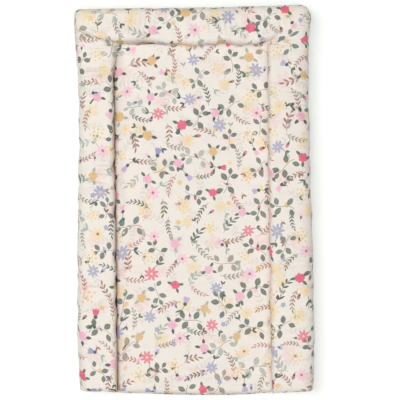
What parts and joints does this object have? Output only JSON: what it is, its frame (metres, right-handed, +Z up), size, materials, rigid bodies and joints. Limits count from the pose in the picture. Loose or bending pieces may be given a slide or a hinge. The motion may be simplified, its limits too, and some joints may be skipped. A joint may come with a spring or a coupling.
{
  "type": "changing mat",
  "caption": "Padded baby changing mat: a flat pad with raised side and head rolls, in a printed wipe-clean cloth cover sewn to a plain base, open at the foot.",
  "frame": {"origin": "on the floor, under the middle of the mat", "axes": "+X to the right across the mat, +Y along it towards the head end, +Z up"},
  "size_m": [0.47, 0.78, 0.068],
  "materials": {
    "printed_cover": "wipe-clean coated cotton printed with small flowers and leaves, soft sheen",
    "base_cloth": "plain cream coated cotton, soft sheen",
    "foam": "soft open foam, matt",
    "wadding": "white polyester wadding, matt",
    "thread": "twisted polyester sewing thread"
  },
  "bodies": {
    "root": {"top_cover": "printed_cover", "base_cover": "base_cloth", "left_bolster_roll": "foam", "right_bolster_roll": "foam", "head_bolster_roll": "foam", "centre_pad": "wadding", "left_seam_needle_thread": "thread", "left_seam_bobbin_thread": "thread", "right_seam_needle_thread": "thread", "right_seam_bobbin_thread": "thread", "head_seam_needle_thread": "thread", "head_seam_bobbin_thread": "thread", "foot_seam_needle_thread": "thread", "foot_seam_bobbin_thread": "thread", "edge_seam_thread": "thread"}
  },
  "joints": []
}
